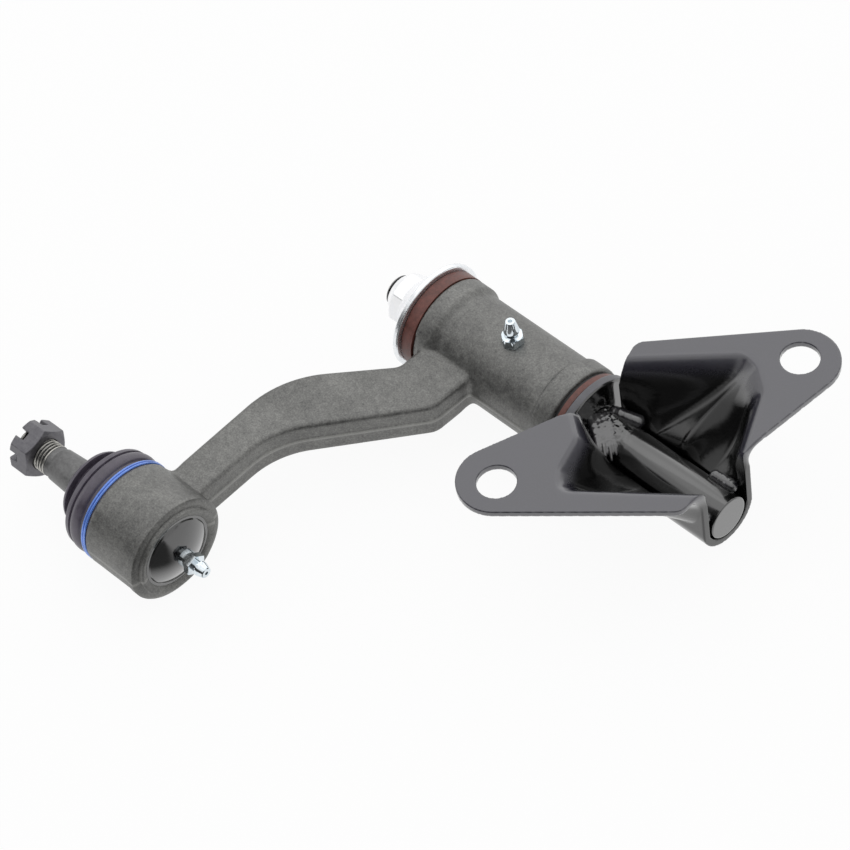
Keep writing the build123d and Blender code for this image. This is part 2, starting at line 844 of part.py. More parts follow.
def ball_cup(split_x, end_x, opening_r):
    """A turned cup from the split between the cups to its end face, hollowed to the ball."""
    side = math.copysign(1, end_x - ball_x)
    split_r = math.sqrt(cup_r**2 - (split_x - ball_x) ** 2)
    edge_x = ball_x + side * math.sqrt(cup_r**2 - opening_r**2)
    middle = math.radians(0.5 * (90 + math.degrees(math.asin(opening_r / cup_r))))
    with BuildPart() as cup:
        with BuildSketch(profile_plane(joint_axis)):
            with BuildLine():
                Polyline((edge_x, opening_r), (end_x, opening_r), (end_x, seat_r))
                Polyline((end_x, seat_r), (split_x, seat_r), (split_x, split_r))
                ThreePointArc(
                    (split_x, split_r),
                    (ball_x + side * cup_r * math.cos(middle), cup_r * math.sin(middle)),
                    (edge_x, opening_r),
                )
            make_face()
        revolve(axis=JOINT_LINE)
    return cup.part


with BuildPart() as stud_side_seat:
    add(ball_cup(ball_x - seat_split / 2, seat_end_x + 0.02, mouth_d / 2))

with BuildPart() as cap_side_seat:
    add(ball_cup(ball_x + seat_split / 2, cap_seat_end_x, cup_opening_d / 2))

# Coned spring washer between the cover's flat rim and the cap side seat
with BuildPart() as preload_spring:
    spring_in_r = spring_bore_d / 2
    spring_out_r = seat_r - 0.6
    spring_start_x = cap_seat_end_x + 0.02
    add(
        turned(
            [
                (spring_start_x, spring_in_r),
                (spring_start_x, spring_in_r + spring_land),
                (spring_outer_x - spring_t, spring_out_r),
                (spring_outer_x, spring_out_r),
                (spring_outer_x, spring_out_r - spring_land),
                (spring_start_x + spring_t, spring_in_r),
            ],
            joint_axis,
        )
    )

# Dust boot: a bead on the housing's spigot, a bulge, a rim, a throat and a lip round the stud
with BuildPart() as dust_boot:
    bead_r = spigot_r + boot_bead_rise
    bulge_r = spigot_r + boot_bulge_rise
    crease_r = spigot_r + boot_crease_rise
    shoulder_r = spigot_r + boot_shoulder_rise
    boot_bulge_x = spigot_x - boot_bulge_reach
    boot_crease_x = spigot_x - boot_crease_reach
    boot_shoulder_x = spigot_x - boot_shoulder_reach
    boot_throat_x = spigot_x - boot_throat_reach
    boot_lip_x = spigot_x - boot_lip_reach
    throat_r = boot_throat_d / 2
    lip_r = boot_lip_d / 2
    grip_r = taper_large_d / 2 + boot_grip_gap
    bead_start_x = housing_boot_x - 0.05
    groove_end_x = bead_start_x - 2 * ring_pitch - 0.5
    face_x = boot_throat_x + 0.3
    lip_start_x = boot_lip_x + boot_lip_w
    with BuildSketch(profile_plane(joint_axis)):
        with BuildLine():
            Polyline(
                (bead_start_x, spigot_r),
                (bead_start_x, groove_r - seat_gap),
                (groove_end_x, groove_r - seat_gap),
                (groove_end_x - 0.6, bead_r),
            )
            ThreePointArc(
                (groove_end_x - 0.6, bead_r),
                (boot_bulge_x, bulge_r),
                (boot_crease_x, crease_r),
            )
            Polyline(
                (boot_crease_x, crease_r),
                (boot_crease_x - 0.5, crease_r + 0.4),
                (boot_shoulder_x + 0.6, shoulder_r + 0.1),
                (boot_shoulder_x, shoulder_r - 0.6),
                (face_x, throat_r + 3.0),
                (boot_throat_x, throat_r),
                (lip_start_x, throat_r),
                (lip_start_x + 0.2, lip_r - 0.3),
                (lip_start_x - 0.3, lip_r),
                (boot_lip_x, lip_r - 1.1),
                (boot_lip_x, grip_r),
                (boot_throat_x + boot_wall, grip_r),
                (boot_throat_x + boot_wall, throat_r + boot_wall),
                (boot_shoulder_x + boot_wall, shoulder_r - boot_wall - 1.0),
            )
            ThreePointArc(
                (boot_shoulder_x + boot_wall, shoulder_r - boot_wall - 1.0),
                (boot_bulge_x, bulge_r - boot_wall),
                (spigot_x - 0.3, spigot_r),
            )
            Line((spigot_x - 0.3, spigot_r), (bead_start_x, spigot_r))
        make_face()
    revolve(axis=JOINT_LINE)

# Boot ring: two turns of wire that clamp the bead to the spigot
with BuildPart() as boot_ring:
    with BuildSketch(profile_plane(joint_axis)):
        for turn_x in (bead_start_x - 0.85, bead_start_x - 0.85 - ring_pitch):
            with Locations((turn_x, ring_turn_d / 2)):
                Circle(ring_wire_d / 2)
    revolve(axis=JOINT_LINE)

# Wire ring round the boot's throat
with BuildPart() as boot_neck_ring:
    with BuildSketch(profile_plane(joint_axis)):
        with Locations((boot_throat_x - 1.4, throat_r + neck_wire_d / 2 + seat_gap)):
            Circle(neck_wire_d / 2)
    revolve(axis=JOINT_LINE)

pieces = {
    "bracket_plate": bracket_plate,
    "pivot_shaft": pivot_shaft,
    "weld_beads": weld_beads,
    "thrust_ring": thrust_ring,
    "end_washer": end_washer,
    "lock_nut": lock_nut,
    "inner_bush": inner_bush,
    "outer_bush": outer_bush,
    "barrel_seal": barrel_seal,
    "idler_arm": idler_arm,
    "barrel_grease_fitting": barrel_grease_fitting,
    "barrel_fitting_ball": barrel_fitting_ball,
    "cap_grease_fitting": cap_grease_fitting,
    "cap_fitting_ball": cap_fitting_ball,
    "cover_plate": cover_plate,
    "preload_spring": preload_spring,
    "cap_side_seat": cap_side_seat,
    "stud_side_seat": stud_side_seat,
    "ball_stud": ball_stud,
    "castle_nut": castle_nut,
    "dust_boot": dust_boot,
    "boot_ring": boot_ring,
    "boot_neck_ring": boot_neck_ring,
}

os.makedirs("parts", exist_ok=True)
for name, piece in pieces.items():
    piece.part.label = name
    export_step(piece.part, f"parts/{name}.step")
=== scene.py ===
import json
import math

import bmesh
import bpy
from mathutils import Matrix, Vector, noise


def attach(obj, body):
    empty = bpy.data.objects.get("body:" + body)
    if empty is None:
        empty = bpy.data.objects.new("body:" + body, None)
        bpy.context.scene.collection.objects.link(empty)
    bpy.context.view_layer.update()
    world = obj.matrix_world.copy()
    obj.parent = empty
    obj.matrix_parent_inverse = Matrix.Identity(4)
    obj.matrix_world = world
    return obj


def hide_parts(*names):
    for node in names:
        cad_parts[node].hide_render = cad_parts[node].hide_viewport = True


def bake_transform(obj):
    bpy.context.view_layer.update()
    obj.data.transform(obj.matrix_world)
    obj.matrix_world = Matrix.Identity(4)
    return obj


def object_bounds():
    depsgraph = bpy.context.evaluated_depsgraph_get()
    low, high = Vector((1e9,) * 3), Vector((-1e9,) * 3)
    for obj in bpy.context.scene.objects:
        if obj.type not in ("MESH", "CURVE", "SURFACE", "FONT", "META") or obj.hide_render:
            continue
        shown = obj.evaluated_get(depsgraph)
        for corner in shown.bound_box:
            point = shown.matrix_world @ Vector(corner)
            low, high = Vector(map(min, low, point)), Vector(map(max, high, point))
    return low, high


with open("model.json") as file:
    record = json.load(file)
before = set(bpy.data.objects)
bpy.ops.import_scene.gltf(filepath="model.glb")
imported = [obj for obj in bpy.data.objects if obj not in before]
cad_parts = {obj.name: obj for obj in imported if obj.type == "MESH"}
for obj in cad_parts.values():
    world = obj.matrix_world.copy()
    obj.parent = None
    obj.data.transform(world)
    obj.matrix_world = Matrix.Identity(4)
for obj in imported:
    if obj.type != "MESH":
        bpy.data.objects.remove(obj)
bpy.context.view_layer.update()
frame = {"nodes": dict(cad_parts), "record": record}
nodes = frame["nodes"]
MM = 0.001

# Places in millimetres, the same as in the part's source
PIVOT = Vector((0, 0, -31.0))
BALL = Vector((-132.9, -152.4, -31.0))
STUD_LINE = Vector((0.99967, 0.02408, 0.00925)).normalized()
RIM_RIGHT = [(-29, 14.5), (7.2, 46.6), (14.6, 45.2), (24.6, 37.6), (37.6, 13.4)]
RIM_LEFT = [(39.5, -13.6), (-3.8, -46.8), (-10.4, -39.4), (-15.6, -23.6), (-26.5, -14.2)]


# Mesh helpers
def new_piece(name, mesh):
    piece = bpy.data.objects.new(name, mesh)
    bpy.context.scene.collection.objects.link(piece)
    return piece


def evaluated(piece):
    """Applies the piece's modifiers to its mesh."""
    graph = bpy.context.evaluated_depsgraph_get()
    mesh = bpy.data.meshes.new_from_object(piece.evaluated_get(graph))
    piece.modifiers.clear()
    piece.data = mesh
    return piece


def shade(piece, angle=40):
    piece.data.shade_smooth()
    piece.data.set_sharp_from_angle(angle=math.radians(angle))
    return piece


def fine_copy(name, node, voxel, rounds):
    """A fine copy of a CAD node, laid on its surface, with edges softened a little."""
    piece = new_piece(name, nodes[node].data.copy())
    piece.data.materials.clear()
    weld = piece.modifiers.new("weld", "WELD")
    weld.merge_threshold = 0.00001
    mod = piece.modifiers.new("remesh", "REMESH")
    mod.mode = "VOXEL"
    mod.voxel_size = voxel * MM
    wrap = piece.modifiers.new("wrap", "SHRINKWRAP")
    wrap.target = nodes[node]
    wrap.wrap_method = "NEAREST_SURFACEPOINT"
    soft = piece.modifiers.new("soft", "SMOOTH")
    soft.factor = 0.5
    soft.iterations = rounds
    return evaluated(piece)


def path_distance(p, path):
    best = 1e9
    for a, b in zip(path, path[1:]):
        a, b = Vector(a), Vector(b)
        along = b - a
        t = max(0.0, min(1.0, (p - a).dot(along) / along.length_squared))
        best = min(best, (p - a - along * t).length)
    return best


def smoothstep(low, high, value):
    t = max(0.0, min(1.0, (value - low) / (high - low)))
    return t * t * (3 - 2 * t)


def soften(piece, weight, rounds):
    """Smooths the mesh where weight(point in mm) is above nothing."""
    group = piece.vertex_groups.new(name="soft")
    for v in piece.data.vertices:
        w = weight(v.co / MM)
        if w > 0.01:
            group.add([v.index], w, "REPLACE")
    mod = piece.modifiers.new("bend", "SMOOTH")
    mod.factor = 0.5
    mod.iterations = rounds
    mod.vertex_group = "soft"
    evaluated(piece)
    piece.vertex_groups.clear()


def turned(name, rows, centre, steps=96, closed=False, radius=None):
    """A mesh turned about the line along X through centre.

    rows holds (x, radius, material number), lengths in millimetres, and the number goes to the
    faces after that row. radius(x, turn, r) may change a row's radius round the turn.
    """
    bm = bmesh.new()
    rings = []
    for x, r, _ in rows:
        if r <= 0:
            rings.append([bm.verts.new(Vector((x, centre.y, centre.z)) * MM)])
            continue
        ring = []
        for i in range(steps):
            t = i / steps
            out = radius(x, t, r) if radius else r
            a = 2 * math.pi * t
            place = Vector((x, centre.y + out * math.cos(a), centre.z + out * math.sin(a)))
            ring.append(bm.verts.new(place * MM))
        rings.append(ring)
    count = len(rings)
    for k in range(count if closed else count - 1):
        a, b = rings[k], rings[(k + 1) % count]
        for i in range(steps):
            j = (i + 1) % steps
            if len(a) == 1:
                face = bm.faces.new((a[0], b[j], b[i]))
            elif len(b) == 1:
                face = bm.faces.new((a[i], a[j], b[0]))
            else:
                face = bm.faces.new((a[i], a[j], b[j], b[i]))
            face.material_index = rows[k][2]
    bmesh.ops.recalc_face_normals(bm, faces=bm.faces)
    mesh = bpy.data.meshes.new(name)
    bm.to_mesh(mesh)
    bm.free()
    return new_piece(name, mesh)


def arc(a, b, c, count):
    """Points of the circle's arc from a over b to c, without its last one."""
    (ax, ay), (bx, by), (cx, cy) = a, b, c
    d = 2 * (ax * (by - cy) + bx * (cy - ay) + cx * (ay - by))
    ux = ((ax**2 + ay**2) * (by - cy) + (bx**2 + by**2) * (cy - ay) + (cx**2 + cy**2) * (ay - by)) / d
    uy = ((ax**2 + ay**2) * (cx - bx) + (bx**2 + by**2) * (ax - cx) + (cx**2 + cy**2) * (bx - ax)) / d
    r = math.hypot(ax - ux, ay - uy)
    t0, t1, t2 = (math.atan2(y - uy, x - ux) for x, y in (a, b, c))
    turn = 2 * math.pi
    span = (t2 - t0) % turn
    if (t1 - t0) % turn > span:
        span -= turn
    steps = (t0 + span * i / count for i in range(count))
    return [(ux + r * math.cos(t), uy + r * math.sin(t)) for t in steps]


def thread(start, end, pitch, depth):
    """The radius of a screw thread between start and end, for turned."""

    def radius(x, turn, r):
        if not min(start, end) <= x <= max(start, end):
            return r
        fade = smoothstep(0, pitch, min(abs(x - start), abs(x - end)) + 0.1)
        wave = (x / pitch + turn) % 1.0
        groove = max(0.0, 1 - abs(wave - 0.5) / 0.44)
        return r - depth * fade * min(1.0, 1.1 * groove)

    return radius


def placed(piece, body, slot, *replaced):
    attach(piece, body)
    if replaced:
        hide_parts(*replaced)


# Material helpers
def srgb(value):
    v = value / 255
    return v / 12.92 if v <= 0.04045 else ((v + 0.055) / 1.055) ** 2.4


def tone(r, g=None, b=None):
    """A colour from its 8-bit display values."""
    return (srgb(r), srgb(r if g is None else g), srgb(r if b is None else b), 1)


class Build:
    """A material's node tree with short calls for the nodes used here."""

    def __init__(self, name):
        self.material = bpy.data.materials.new(name)
        self.material.use_nodes = True
        self.tree = self.material.node_tree
        self.tree.nodes.clear()
        self.out = self.tree.nodes.new("ShaderNodeOutputMaterial")
        self.shader = self.tree.nodes.new("ShaderNodeBsdfPrincipled")
        self.link(self.shader.outputs[0], self.out.inputs[0])
        self.coords = self.tree.nodes.new("ShaderNodeTexCoord").outputs["Object"]

    def link(self, a, b):
        self.tree.links.new(a, b)

    def set(self, **values):
        for key, value in values.items():
            self.shader.inputs[key.replace("_", " ")].default_value = value

    def noise(self, scale, detail=3, rough=0.5, stretch=None):
        node = self.tree.nodes.new("ShaderNodeTexNoise")
        node.inputs["Scale"].default_value = scale
        node.inputs["Detail"].default_value = detail
        node.inputs["Roughness"].default_value = rough
        source = self.coords
        if stretch:
            mapping = self.tree.nodes.new("ShaderNodeMapping")
            mapping.inputs["Scale"].default_value = stretch
            self.link(source, mapping.inputs[0])
            source = mapping.outputs[0]
        self.link(source, node.inputs["Vector"])
        return node.outputs["Fac"]

    def ramp(self, value, stops):
        node = self.tree.nodes.new("ShaderNodeValToRGB")
        elements = node.color_ramp.elements
        while len(elements) < len(stops):
            elements.new(0.5)
        for element, (place, colour) in zip(elements, stops):
            element.position = place
            element.color = colour
        self.link(value, node.inputs[0])
        return node.outputs[0]

    def math(self, kind, a, b=None):
        node = self.tree.nodes.new("ShaderNodeMath")
        node.operation = kind
        for slot, value in zip(node.inputs, (a, b)):
            if isinstance(value, (int, float)):
                slot.default_value = value
            elif value is not None:
                self.link(value, slot)
        return node.outputs[0]

    def mix(self, factor, a, b, kind="MIX"):
        node = self.tree.nodes.new("ShaderNodeMix")
        node.data_type = "RGBA"
        node.blend_type = kind
        for slot, value in zip((node.inputs[0], node.inputs[6], node.inputs[7]), (factor, a, b)):
            if isinstance(value, (int, float, tuple)):
                slot.default_value = value
            else:
                self.link(value, slot)
        return node.outputs[2]

    def separate(self, vector):
        node = self.tree.nodes.new("ShaderNodeSeparateXYZ")
        self.link(vector, node.inputs[0])
        return node.outputs

    def range(self, value, low, high, low_out=0.0, high_out=1.0):
        node = self.tree.nodes.new("ShaderNodeMapRange")
        node.interpolation_type = "SMOOTHSTEP"
        for key, number in (("From Min", low), ("From Max", high), ("To Min", low_out), ("To Max", high_out)):
            node.inputs[key].default_value = number
        self.link(value, node.inputs["Value"])
        return node.outputs[0]

    def bump(self, height, strength, distance, coat=False):
        node = self.tree.nodes.new("ShaderNodeBump")
        node.inputs["Strength"].default_value = strength
        node.inputs["Distance"].default_value = distance * MM
        self.link(height, node.inputs["Height"])
        self.link(node.outputs[0], self.shader.inputs["Normal"])
        if coat:
            self.link(node.outputs[0], self.shader.inputs["Coat Normal"])

    def colour(self, value):
        self.link(value, self.shader.inputs["Base Color"])

    def rough(self, value):
        self.link(value, self.shader.inputs["Roughness"])


def skin(name, low, high, rough, scale, bump, spread=0.16, **extra):
    """A surface whose tone, roughness and fine relief vary with two noises."""
    b = Build(name)
    cloud = b.noise(scale, 5, 0.6)
    fine = b.noise(scale * 9, 3, 0.6)
    both = b.math("ADD", b.math("MULTIPLY", cloud, 0.55), b.math("MULTIPLY", fine, 0.45))
    b.colour(b.ramp(both, [(0.36, low), (0.64, high)]))
    b.rough(b.range(both, 0.3, 0.7, rough - spread / 2, rough + spread / 2))
    b.set(**extra)
    b.bump(both, 0.5, bump)
    return b.material


def forging_skin():
    b = Build("forging_skin")
    cloud = b.noise(70, 4, 0.6)
    grain = b.noise(1300, 3, 0.75)
    pits = b.noise(420, 5, 0.65)
    both = b.math("ADD", b.math("MULTIPLY", cloud, 0.2), b.math("MULTIPLY", grain, 0.45))
    both = b.math("ADD", both, b.math("MULTIPLY", pits, 0.35))
    steel = b.ramp(both, [(0.36, tone(88, 88, 87)), (0.5, tone(116, 116, 114)), (0.64, tone(142, 142, 139))])
    # Painted highlight: a lighter band at mid-height, along the dies' ridge, where the ridge catches the light
    ridge_highlight_distance = b.math("ABSOLUTE", b.math("ADD", b.separate(b.coords)[2], 0.031))
    b.colour(b.mix(b.range(ridge_highlight_distance, 0.0004, 0.0012, 0.4, 0.0), steel, tone(170, 170, 166)))
    b.rough(b.range(pits, 0.3, 0.7, 0.4, 0.54))
    b.set(Metallic=0.8, Specular_IOR_Level=0.5)
    b.bump(both, 0.5, 0.3)
    return b.material


def black_paint():
    b = Build("black_paint_finish")
    height = b.separate(b.coords)[2]
    # Painted shade: by height, the pockets take a near-black colour and a weaker shine than the top faces
    high = b.range(height, -0.009, -0.001)
    cloud = b.noise(45, 4, 0.6)
    specks = b.noise(1300, 2, 0.7)
    film = b.math("ADD", b.math("MULTIPLY", cloud, 0.45), b.math("MULTIPLY", specks, 0.55))
    painted_pocket_shade = b.ramp(film, [(0.35, tone(5)), (0.65, tone(11))])
    face = b.ramp(film, [(0.35, tone(20, 18, 34)), (0.65, tone(34, 32, 48))])
    b.colour(b.mix(high, painted_pocket_shade, face))
    b.rough(b.math("ADD", b.math("MULTIPLY", high, 0.2), b.range(film, 0.3, 0.7, 0.1, 0.26)))
    b.set(Coat_IOR=1.55, Coat_Roughness=0.12)
    shine = b.range(height, -0.012, -0.004, 0.4, 1.0)
    b.link(shine, b.shader.inputs["Specular IOR Level"])
    b.link(shine, b.shader.inputs["Coat Weight"])
    b.bump(film, 0.25, 0.08, coat=True)
    return b.material


PAINT = dict(Specular_IOR_Level=1.0, Coat_Weight=1.0, Coat_IOR=1.55)
MATERIALS = {
    "black_paint": black_paint(),
    "shaft_paint": skin(
        "shaft_paint_finish", tone(7), tone(14),
        0.16, 120, 0.05, 0.1, Coat_Roughness=0.08, **PAINT,
    ),
    "cover_paint": skin(
        "cover_paint_finish", tone(8), tone(16),
        0.12, 120, 0.03, 0.06, Coat_Roughness=0.04, **PAINT,
    ),
    "weld_metal": skin(
        "painted_weld", tone(14), tone(34, 33, 38),
        0.2, 500, 0.08, 0.12, Coat_Roughness=0.1, **PAINT,
    ),
    "end_face": skin("bare_end_face", tone(152), tone(194), 0.45, 900, 0.12, Metallic=1.0),
    "black_oxide": skin("oxidised_thread", tone(30), tone(46), 0.42, 300, 0.05),
    "ring_paint": skin("ring_paint_finish", tone(84, 84, 88), tone(100, 100, 105), 0.4, 200, 0.04),
    "shaft_steel": skin("turned_steel", tone(165), tone(185), 0.3, 200, 0.03, Metallic=1.0),
    "zinc_plate": skin(
        "bright_zinc", tone(232, 236, 240), tone(250, 251, 252),
        0.24, 60, 0.01, Metallic=0.9,
    ),
    "nut_zinc": skin("white_zinc", tone(246, 247, 250), tone(255), 0.34, 60, 0.01, Metallic=0.7),
    "fitting_zinc": skin(
        "polished_zinc", tone(205, 217, 225), tone(238, 243, 246),
        0.1, 150, 0.02, 0.08, Metallic=1.0,
    ),
    "bush_composite": skin("bush_skin", tone(78, 46, 40), tone(116, 70, 62), 0.42, 400, 0.08),
    "black_rubber": skin("seal_rubber", tone(24), tone(36), 0.5, 300, 0.04),
    "forged_steel": forging_skin(),
    # Painted shade: a dark finish for the housing's valley and the lip's inside
    "lip_shade_paint": skin("painted_shade_on_lip", tone(62), tone(86), 0.5, 500, 0.1, Metallic=0.7),
    # Painted highlight: a bright finish for the housing's edge and the lip's crest
    "lip_painted_highlight": skin(
        "rolled_lip_painted_highlight", tone(150, 150, 147), tone(184, 184, 180),
        0.34, 500, 0.05, Metallic=0.8,
    ),
    "seat_plastic": skin("seat_skin", tone(210, 210, 200), tone(225, 225, 216), 0.4, 300, 0.02),
    "stud_steel": skin("phosphated_stud", tone(96), tone(128), 0.46, 700, 0.14, Metallic=0.75),
    "thread_crest": skin(
        "bright_crest", tone(150, 149, 144), tone(200, 198, 192),
        0.35, 700, 0.05, Metallic=0.9,
    ),
    "thread_root": skin("thread_root", tone(58), tone(84), 0.5, 700, 0.05, Metallic=0.6),
    "nut_steel": skin(
        "phosphated_nut", tone(94, 93, 98), tone(120, 119, 122),
        0.4, 500, 0.08, Metallic=0.75,
    ),
    "boot_rubber": skin(
        "boot_skin", tone(62, 57, 68), tone(84, 78, 90),
        0.36, 300, 0.04, Specular_IOR_Level=0.7,
    ),
    # Painted highlight: a light finish for the boot's rim
    "boot_rim_painted_highlight": skin("boot_rim_painted_highlight_skin", tone(196, 195, 191), tone(214, 213, 208), 0.4, 300, 0.03),
    # Painted shade: a near-black finish for the boot's bead, groove, crease, throat and lip
    "boot_painted_shade": skin("boot_painted_shade_skin", tone(10), tone(18), 0.3, 300, 0.03),
    "blue_ring": skin(
        "blue_coat", tone(84, 126, 208), tone(116, 152, 232),
        0.25, 300, 0.02, Metallic=0.35, Coat_Weight=0.5,
    ),
}


def finish_with(piece, *keys):
    # Known fault: clearing sets the faces' material numbers back to 0, so those given before this call are lost
    piece.data.materials.clear()
    for key in keys:
        piece.data.materials.append(MATERIALS[key])


def node_material(node, key):
    for slot in nodes[node].material_slots:
        slot.material = MATERIALS[key]


# CAD nodes that keep their shape take their finish
for entry in frame["record"]["subparts"]:
    node_material(entry["node"], entry["material_slot"])
node_material("cover_plate", "cover_paint")
node_material("cap_grease_fitting", "fitting_zinc")

# Bracket: a fine copy with rounded bends along the rims of its pockets
bracket = fine_copy("bracket_sheet", "bracket_plate", 0.55, 2)


def bend_weight(p):
    if p.z < -12:
        return 0.0
    flat = Vector((p.x, p.y))
    near = min(path_distance(flat, RIM_RIGHT), path_distance(flat, RIM_LEFT))
    return (1 - smoothstep(3.5, 7.0, near)) * (1 - smoothstep(6, 12, -p.z))


soften(bracket, bend_weight, 45)
shade(bracket, 60)
finish_with(bracket, "black_paint")
placed(bracket, "bracket", "black_paint", "bracket_plate")

# Arm forging: a fine copy with soft corners and the ridge that the dies leave at mid-height
arm = fine_copy("arm_forging", "idler_arm", 0.8, 2)


def root_weight(p):
    if abs(p.z - PIVOT.z) > 12 or p.y > -14 or p.y < BALL.y + 14:
        return 0.0
    at_barrel = 1 - smoothstep(2.5, 6.5, abs(abs(p.y) - 20.0))
    reach = math.hypot(p.y - BALL.y, p.z - PIVOT.z)
    at_housing = 1 - smoothstep(2.5, 6.5, abs(reach - 23.5))
    return max(at_barrel, at_housing)


soften(arm, root_weight, 25)
arm.data.update()
for v in arm.data.vertices:
    p = v.co / MM
    if p.y > -15 or math.hypot(p.y - BALL.y, p.z - PIVOT.z) < 24.5 or abs(v.normal.z) > 0.6:
        continue
    ridge = math.exp(-(((p.z - PIVOT.z) / 0.9) ** 2))
    v.co += Vector((v.normal.x, v.normal.y, 0)) * 0.6 * ridge * MM
for v in arm.data.vertices:
    p = v.co / MM
    reach = math.hypot(p.y - BALL.y, p.z - BALL.z)
    if p.x > -121.3 and 15.0 < reach < 25:
        v.co.x -= min(2.4, (p.x + 121.3) * 0.6) * MM
        v.co.y += (BALL.y - p.y) * 0.02 * MM
        v.co.z += (BALL.z - p.z) * 0.02 * MM
shade(arm, 60)
finish_with(arm, "forged_steel")
placed(arm, "arm", "forged_steel", "idler_arm")

# The housing's end: a crisp edge, a shallow valley and the lip rolled over the cover
# The rows give the edge and the lip's crest the bright finish, a painted highlight, and the valley and the
# lip's inside the dark one, painted shade; the fault noted at finish_with sets these numbers back to 0
rows = [(-122.4, 23.4, 0), (-122.2, 23.52, 0), (-119.7, 23.52, 2), (-119.4, 23.3, 1), (-119.1, 22.7, 1)]
rows += [(-118.75, 22.0, 1), (-118.6, 21.2, 1), (-118.6, 20.6, 1)]
rows += [(-118.4, 20.3, 2), (-117.6, 20.1, 2), (-117.15, 19.85, 2)]
rows += [(-117.0, 19.4, 2), (-117.0, 18.9, 2), (-117.15, 18.3, 2)]
rows += [(-117.45, 17.6, 2), (-117.85, 16.9, 1), (-118.28, 16.4, 1)]
rows += [(-119.6, 16.3, 1), (-120.6, 17.0, 0)]
lip = turned("rolled_lip", rows, BALL, 160)
shade(lip, 30)
finish_with(lip, "forged_steel", "lip_shade_paint", "lip_painted_highlight")
placed(lip, "arm", "forged_steel")

# Thrust ring: grey on its rim, black on its faces
collar = fine_copy("thrust_collar", "thrust_ring", 0.35, 2)
finish_with(collar, "shaft_paint", "ring_paint")
for face in collar.data.polygons:
    face.material_index = 1 if abs(face.normal.x) < 0.6 else 0
shade(collar, 50)
placed(collar, "bracket", "shaft_steel", "thrust_ring")

# Pivot shaft: a bar in black paint, rough by its welds, with a cut thread
R = 9.6
rows = [(39.6, 0, 1), (39.6, R - 0.9, 1), (39.6, R - 0.5, 0), (39.45, R - 0.15, 0), (39.1, R, 0)]
rows += [(-8 - 0.4 * i, R, 0) for i in range(57)]
rows += [(-31, R, 2), (-120.9, R, 2), (-120.9, 7.0, 3)]
rows += [(-134 - 0.15 * i, 7.0, 3) for i in range(69)]
rows += [(-144.4, 7.0, 3), (-145.3, 6.0, 3), (-145.3, 0, 3)]
end_thread = thread(-134.0, -144.9, 1.5, 0.85)


def shaft_radius(x, turn, r):
    if x < -100:
        return end_thread(x, turn, r)
    near = smoothstep(-9, -20, x) * (1 - smoothstep(-29.8, -30.9, x))
    top = smoothstep(-0.3, 0.5, math.sin(2 * math.pi * turn))
    place = Vector((x * 0.5, math.cos(2 * math.pi * turn) * 4.2, math.sin(2 * math.pi * turn) * 4.2))
    return r + near * top * (0.25 + 0.55 * noise.noise(place) + 0.2 * noise.noise(place * 2.7))


shaft = turned("welded_shaft", rows, PIVOT, 160, radius=shaft_radius)
shade(shaft, 50)
finish_with(shaft, "shaft_paint", "end_face", "shaft_steel", "black_oxide")
placed(shaft, "bracket", "shaft_steel", "pivot_shaft")


# Weld beads: lumps laid along each run, joined and smoothed
def lumps(name, blobs, voxel, rounds):
    bm = bmesh.new()
    for place, r in blobs:
        made = bmesh.ops.create_icosphere(bm, subdivisions=2, radius=r * MM)
        bmesh.ops.translate(bm, verts=made["verts"], vec=Vector(place) * MM)
    mesh = bpy.data.meshes.new(name)
    bm.to_mesh(mesh)
    bm.free()
    piece = new_piece(name, mesh)
    mod = piece.modifiers.new("remesh", "REMESH")
    mod.mode = "VOXEL"
    mod.voxel_size = voxel * MM
    soft = piece.modifiers.new("soft", "SMOOTH")
    soft.factor = 0.5
    soft.iterations = rounds
    return evaluated(piece)


def run(points, r, gap, seed, across=(0, 0, 0), lanes=(0,)):
    """Lumps of uneven size along a line, in one or more lanes side by side."""
    out = []
    for lane in lanes:
        for k, (a, b) in enumerate(zip(points, points[1:])):
            a, b = Vector(a), Vector(b)
            count = max(2, round((b - a).length / gap))
            for i in range(count + (k == len(points) - 2)):
                p = a + (b - a) * (i / count) + Vector(across) * lane
                wave = noise.noise(Vector((seed + k + lane, i * 0.9, 0.3)))
                out.append((p, r * (1 + 0.14 * wave)))
    return out


entry_path = [(-29.4, -0.5, -22.9), (-25.4, -2.4, -22.9), (-20.2, -5.8, -23.8), (-17.2, -8.4, -24.6)]
blobs = run(entry_path, 2.35, 0.8, 1.0, (0.62, 0.78, 0.0), (-3.4, -1.1, 1.1, 3.2))
fingers = ((-3.4, 5.0, 1.15), (-1.2, 6.6, 1.3), (1.2, 6.2, 1.2), (3.3, 4.4, 1.25))
for lane, reach, r in fingers:
    start = Vector((-17.6, -8.0, -23.2)) + Vector((0.62, 0.78, 0.0)) * lane
    for i in range(9):
        t = i / 8
        blobs.append((start + Vector((0.74, -0.67, -0.12 - 0.3 * t)) * reach * t, r * (1 - 0.45 * t * t)))
blobs += run([(-26.4, 6.4, -23.8), (-21.0, 7.6, -23.6), (-16.4, 9.0, -24.0)], 3.0, 1.3, 4.0)
blobs += run([(25.4, 8.6, -24.4), (33.6, 9.0, -24.4)], 2.8, 1.6, 7.0)
blobs += run([(27.4, -8.4, -25.2), (35.6, -8.4, -25.2)], 2.3, 1.3, 9.0)
welds = lumps("weld_lumps", blobs, 0.36, 5)
shade(welds, 60)
finish_with(welds, "weld_metal")
placed(welds, "bracket", "weld_metal", "weld_beads")

